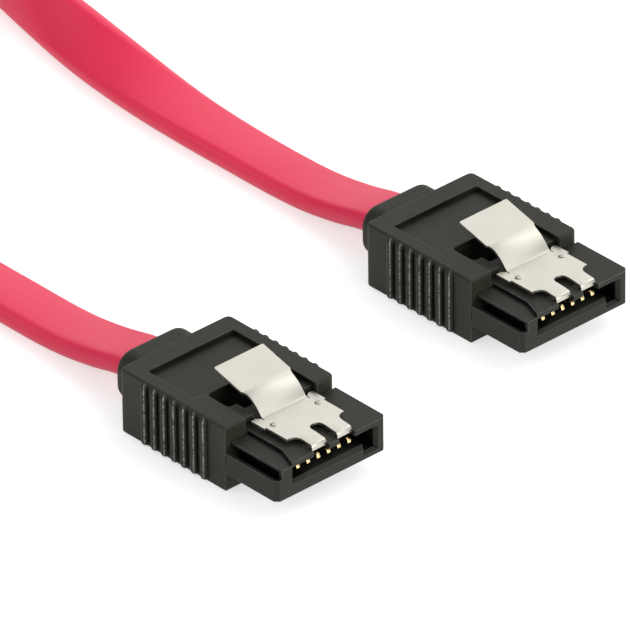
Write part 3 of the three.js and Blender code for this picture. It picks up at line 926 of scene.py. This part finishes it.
# %% Soft black of the overmould
# A rib's pale strip, partly wear and partly a painted highlight, starts 14.5 degrees from the strip's
# direction and is full at 8 degrees: these are the cosines of both
pale_strip_start, pale_strip_full = 0.968, 0.99
soft_black = Finish("overmould_black", 0.55, specular=0.25)
grains = soft_black.use(grain, Grain_Scale=5000, Tone_Scale=260)
edge_wear_and_highlight_mask = soft_black.use(edge_wear_and_highlight, Width=0.00016, Patches=2600)["Mask"]
flank = soft_black.span(add_attribute(soft_black.tree, "rub_and_highlight"), 0, 1, pale_strip_start, pale_strip_full)
patchy = soft_black.span(add_noise(soft_black.tree, 3600, 3), 0.2, 1.0, 0.4, 0.6)
rub_and_highlight = add_math(soft_black.tree, "MULTIPLY", flank, patchy)
toned = soft_black.blend(grains["Tone"], (0.0178, 0.0184, 0.0112), (0.0255, 0.0263, 0.0172))
# Wear and painted highlight: a pale line along the overmould's edges
marked = soft_black.blend(edge_wear_and_highlight_mask, toned, (0.15, 0.16, 0.145))
# Wear and painted highlight: the pale strip on each rib's flank
marked = soft_black.blend(rub_and_highlight, marked, (0.33, 0.36, 0.34))
# Painted shade: the overmould's inner corners and recesses are darkened in the base colour where
# shadow falls
painted_shade_mask = soft_black.use(painted_shade, Reach=0.0007)["Mask"]
soft_black.feed("Base Color", soft_black.blend(painted_shade_mask, marked, (0.003, 0.003, 0.002)))
soft_black.feed("Roughness", soft_black.span(grains["Height"], 0.48, 0.62))
soft_black.bump(grains["Height"], 0.00003, 0.6)
dress(overmoulds, soft_black)

# %% Hard black of the insert
hard_black = Finish("insert_black", 0.5, specular=0.16)
grains = hard_black.use(grain, Grain_Scale=7000, Tone_Scale=300)
edge_wear_and_highlight_mask = hard_black.use(edge_wear_and_highlight, Width=0.00012, Patches=2400)["Mask"]
toned = hard_black.blend(grains["Tone"], (0.023, 0.0235, 0.0185), (0.031, 0.0315, 0.026))
# Wear and painted highlight: a pale bluish line along the insert's edges
marked = hard_black.blend(edge_wear_and_highlight_mask, toned, (0.24, 0.26, 0.26))
# Painted shade: with a longer reach, the insert's ledge and recesses are darkened in the base colour
# where shadow falls
painted_shade_mask = hard_black.use(painted_shade, Reach=0.002)["Mask"]
hard_black.feed("Base Color", hard_black.blend(painted_shade_mask, marked, (0.003, 0.003, 0.003)))
hard_black.feed("Roughness", hard_black.span(grains["Tone"], 0.44, 0.54))
hard_black.bump(grains["Height"], 0.00001, 0.5)
dress(inserts, hard_black)

# %% Spring steel and gold
steel = Finish("latch_steel", 0.34, metallic=1.0)
rolled = add_noise(steel.tree, 9000, 2, (0.04, 1, 1))
smudge = add_noise(steel.tree, 350, 3)
steel.feed("Base Color", steel.blend(smudge, (0.56, 0.535, 0.47), (0.62, 0.60, 0.54)))
steel.feed("Roughness", steel.span(rolled, 0.30, 0.42))
steel.bump(rolled, 0.000004, 0.5)
dress(latches, steel)

gold = Finish("contact_gold", 0.25, metallic=1.0)
plating = add_noise(gold.tree, 3000, 2)
gold.feed("Base Color", gold.blend(plating, (0.96, 0.70, 0.30), (1.0, 0.82, 0.46)))
gold.feed("Roughness", gold.span(plating, 0.2, 0.32))
dress(contacts, gold)

# %% [markdown]
# ## Cable jacket
# The jacket is drawn through a die, so any marks on it run lengthwise. The two attributes that the
# sweep left on the mesh say how far a point is along the cable and across it, and noise on those two
# numbers gives faint drawn lines and a slow unevenness that both follow the cable round its loop.

# %% Red jacket
jacket = Finish("cable_jacket_red", 0.4)


def ribbon_noise(finish, per_metre_along, per_metre_across, detail):
    """Noise that is laid out along and across the cable, however it bends."""
    joined = finish.tree.nodes.new("ShaderNodeCombineXYZ")
    axes = (("along", per_metre_along), ("across", per_metre_across))
    for axis, (name, per_metre) in enumerate(axes):
        place_of = add_attribute(finish.tree, name)
        scaled = add_math(finish.tree, "MULTIPLY", place_of, per_metre)
        finish.tree.links.new(scaled, joined.inputs[axis])
    noise = finish.tree.nodes.new("ShaderNodeTexNoise")
    noise.inputs["Scale"].default_value = 1
    noise.inputs["Detail"].default_value = detail
    finish.tree.links.new(joined.outputs[0], noise.inputs["Vector"])
    return noise.outputs["Fac"]


drawn = ribbon_noise(jacket, 30, 3500, 2)
uneven = ribbon_noise(jacket, 120, 300, 2)
jacket.feed("Base Color", jacket.blend(uneven, (0.95, 0.02, 0.095), (0.88, 0.016, 0.08)))
jacket.feed("Roughness", jacket.span(drawn, 0.34, 0.46))
jacket.bump(drawn, 0.00002, 0.4)
dress([cable], jacket)

# %% [markdown]
# ## Floor, light and background
# The product lies on white paper. Paper lit to exactly white would wash out the shadows, so the floor
# is a mid-pale diffuse surface that gives the part a natural bounce, and a plain white is added only
# where the camera or a reflection looks at it. The shadow stays, because it is in the diffuse part.
# The paper lies a hair under the plugs, since two faces in one plane would flicker. The light comes
# from a broad window behind the part, a box above it on the right, a small bright one low in front of
# the mating faces and one on the left, in a pale room.

# %% Floor
floor_half = 1.5
paper_drop = 0.02 * mm
paper_grey, paper_white = 0.7, 0.6

bm = bmesh.new()
bmesh.ops.create_grid(bm, x_segments=1, y_segments=1, size=floor_half)
bmesh.ops.translate(bm, vec=(0, 0, -paper_drop), verts=bm.verts)
floor = as_object(bm, "floor")


def plain_tree(owner):
    owner.use_nodes = True
    owner.node_tree.nodes.clear()
    return owner.node_tree


paper = bpy.data.materials.new("paper")
tree = plain_tree(paper)
rays = tree.nodes.new("ShaderNodeLightPath")
seen = add_math(tree, "MAXIMUM", rays.outputs["Is Camera Ray"], rays.outputs["Is Glossy Ray"])
diffuse = tree.nodes.new("ShaderNodeBsdfDiffuse")
diffuse.inputs["Color"].default_value = (paper_grey, paper_grey, paper_grey, 1)
white = tree.nodes.new("ShaderNodeEmission")
tree.links.new(add_math(tree, "MULTIPLY", seen, paper_white), white.inputs["Strength"])
both = tree.nodes.new("ShaderNodeAddShader")
tree.links.new(diffuse.outputs[0], both.inputs[0])
tree.links.new(white.outputs[0], both.inputs[1])
tree.links.new(both.outputs[0], tree.nodes.new("ShaderNodeOutputMaterial").inputs["Surface"])
floor.data.materials.append(paper)
print("floor:", 2 * floor_half, "m wide, of", paper.name)

# %% Room and lamps
world = bpy.data.worlds.new("pale_room")
bpy.context.scene.world = world
world.use_nodes = True
background = world.node_tree.nodes["Background"]
background.inputs["Color"].default_value = (1, 1, 1, 1)
background.inputs["Strength"].default_value = 0.25


def softbox(name, place_at, width, height, radiance):
    """A rectangular lamp that faces the part, with its brightness given as seen on its face."""
    lamp = bpy.data.lights.new(name, "AREA")
    lamp.shape, lamp.size, lamp.size_y = "RECTANGLE", width, height
    lamp.energy = radiance * math.pi * width * height
    box = bpy.data.objects.new(name, lamp)
    bpy.context.scene.collection.objects.link(box)
    box.location = place_at
    box.rotation_mode = "QUATERNION"
    box.rotation_quaternion = (-Vector(place_at)).to_track_quat("-Z", "Y")
    print(name, round(lamp.energy, 2), "W")


softbox("window", (-0.8, 1.05, 0.95), 3.2, 1.8, 1.1)
softbox("overhead", (0.5, 0.7, 0.95), 1.3, 1.1, 1.1)
softbox("front", (1.35, 0.05, 0.38), 0.9, 0.6, 7.5)
softbox("side", (-0.45, -1.1, 0.75), 1.2, 1.0, 1.5)
